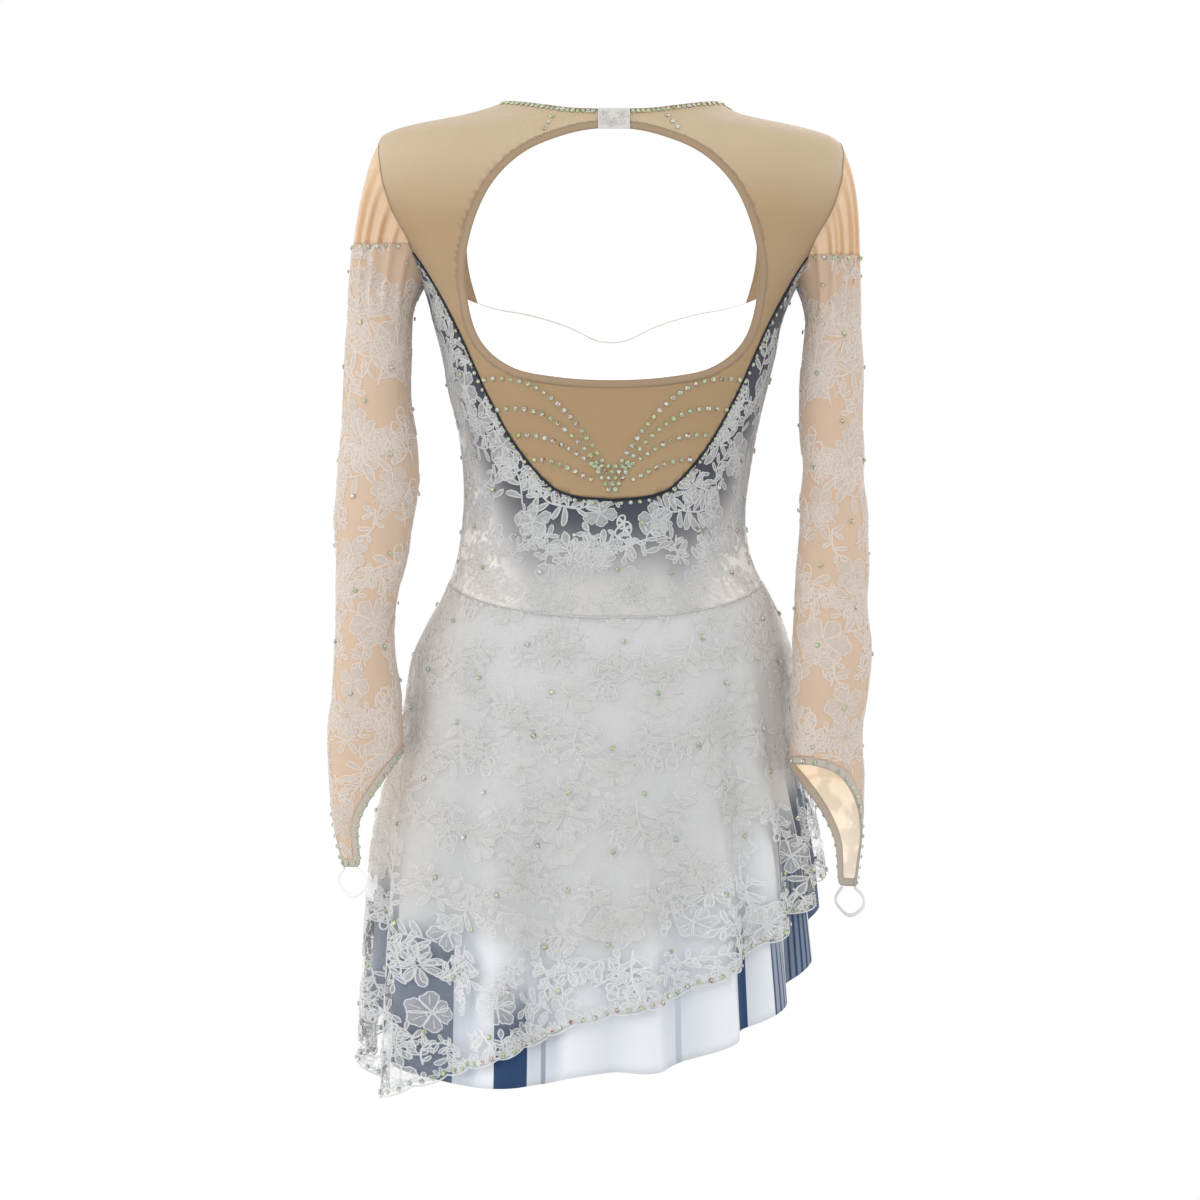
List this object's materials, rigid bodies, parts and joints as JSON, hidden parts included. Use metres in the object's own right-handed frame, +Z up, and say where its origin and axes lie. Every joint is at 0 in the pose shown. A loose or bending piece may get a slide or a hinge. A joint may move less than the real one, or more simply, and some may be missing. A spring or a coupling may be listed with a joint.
{
  "type": "figure skating dress",
  "caption": "Long-sleeved figure skating dress with a lace bodice, sheer yoke, round open back, hand points and a slanted two-layer skirt, filled out as if worn.",
  "frame": {"origin": "midway between the shoulders at the height of the shoulder line, where the wearer's shoulders carry the dress", "axes": "+Z up along the body, the front faces -Y, and +X is the wearer's left"},
  "size_m": [0.4867, 0.3069, 0.9004],
  "materials": {
    "nude_mesh": "sheer matt stretch mesh, skin-coloured",
    "bodice_lace": "white floral lace over a dyed lining, matt",
    "skirt_lace": "white floral lace, matt",
    "underskirt": "thin stretch mesh, pale outside and blue inside, slight sheen",
    "sleeve_lace": "white floral lace over skin-coloured mesh, matt",
    "mesh_binding": "folded stretch mesh, matt",
    "cuff_trim": "grey-beige folded trim, matt",
    "tab_lace": "white lace, matt",
    "elastic": "white elastic band, matt"
  },
  "bodies": {
    "root": {"yoke_back": "nude_mesh", "yoke_front_left": "nude_mesh", "yoke_front_right": "nude_mesh", "sleeve_head_left": "nude_mesh", "sleeve_head_right": "nude_mesh", "bodice_back": "bodice_lace", "bodice_front": "bodice_lace", "skirt_back": "skirt_lace", "skirt_front": "skirt_lace", "underskirt_back": "underskirt", "underskirt_front": "underskirt", "sleeve_left": "sleeve_lace", "sleeve_right": "sleeve_lace", "keyhole_binding": "mesh_binding", "cuff_binding_left": "cuff_trim", "cuff_binding_right": "cuff_trim", "closure_tab": "tab_lace", "finger_loop_left": "elastic", "finger_loop_right": "elastic"}
  },
  "joints": []
}
